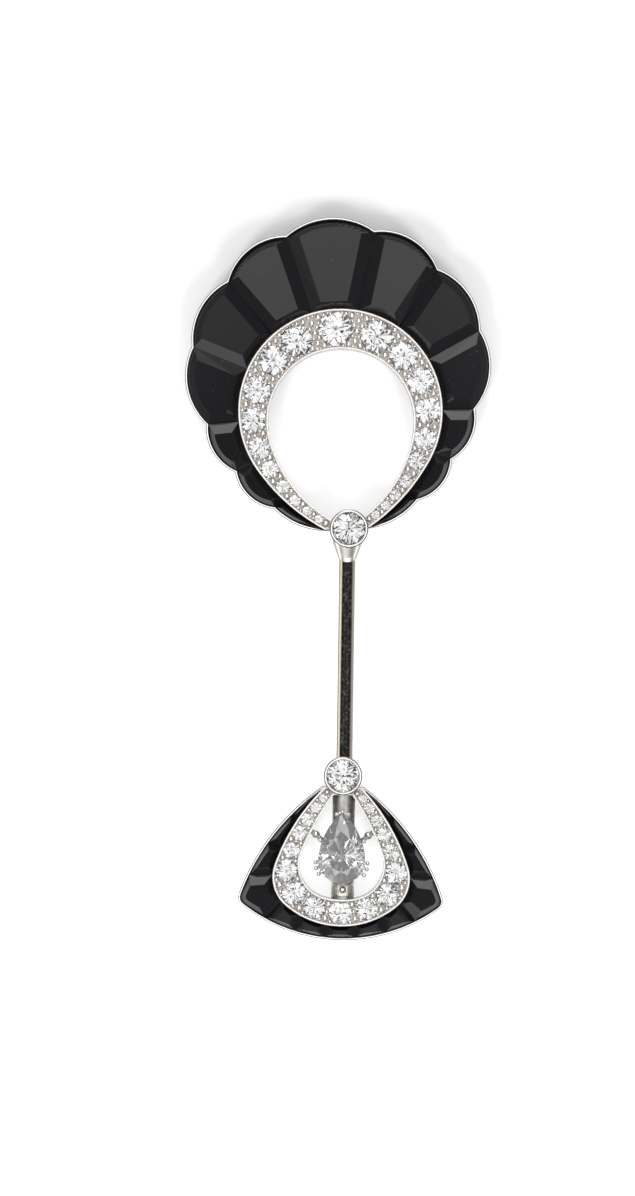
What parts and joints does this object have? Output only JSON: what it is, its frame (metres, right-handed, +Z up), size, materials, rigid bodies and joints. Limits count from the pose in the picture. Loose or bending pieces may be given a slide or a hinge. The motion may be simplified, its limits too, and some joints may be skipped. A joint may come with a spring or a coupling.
{
  "type": "jabot pin",
  "caption": "Jabot pin with a scalloped onyx and diamond crescent head, an enamelled stem and a pull-off fan-shaped onyx and diamond terminal with a pear-shaped stone.",
  "frame": {"origin": "middle of the underside of the whole pin, on the surface that it lies on", "axes": "+Z up, the way the jewelled face looks; +Y along the stem from the terminal to the crescent head; +X to the right as seen from above"},
  "size_m": [0.034, 0.0804, 0.005],
  "materials": {
    "platinum": "polished platinum with fine milgrain",
    "gold": "polished pale gold",
    "enamel": "gloss black enamel",
    "onyx": "polished black onyx",
    "diamond": "clear, old-cut facets"
  },
  "bodies": {
    "pin": {"head_frame": "platinum", "stem": "gold", "stem_enamel": "enamel", "head_collet_diamond": "diamond", "head_diamonds": "diamond", "head_onyx_left_6": "onyx", "head_onyx_left_5": "onyx", "head_onyx_left_4": "onyx", "head_onyx_left_3": "onyx", "head_onyx_left_2": "onyx", "head_onyx_left_1": "onyx", "head_onyx_middle": "onyx", "head_onyx_right_1": "onyx", "head_onyx_right_2": "onyx", "head_onyx_right_3": "onyx", "head_onyx_right_4": "onyx", "head_onyx_right_5": "onyx", "head_onyx_right_6": "onyx"},
    "terminal": {"terminal_frame": "platinum", "pear_mount": "platinum", "pear_diamond": "diamond", "terminal_collet_diamond": "diamond", "terminal_diamonds": "diamond", "terminal_onyx_left_6": "onyx", "terminal_onyx_left_5": "onyx", "terminal_onyx_left_4": "onyx", "terminal_onyx_left_3": "onyx", "terminal_onyx_left_2": "onyx", "terminal_onyx_left_1": "onyx", "terminal_onyx_middle": "onyx", "terminal_onyx_right_1": "onyx", "terminal_onyx_right_2": "onyx", "terminal_onyx_right_3": "onyx", "terminal_onyx_right_4": "onyx", "terminal_onyx_right_5": "onyx", "terminal_onyx_right_6": "onyx"}
  },
  "joints": [
    {"name": "terminal_slide", "type": "slide", "parent": "pin", "child": "terminal", "axis": [0, -1, 0], "range_m": [0, 0.0165]}
  ]
}
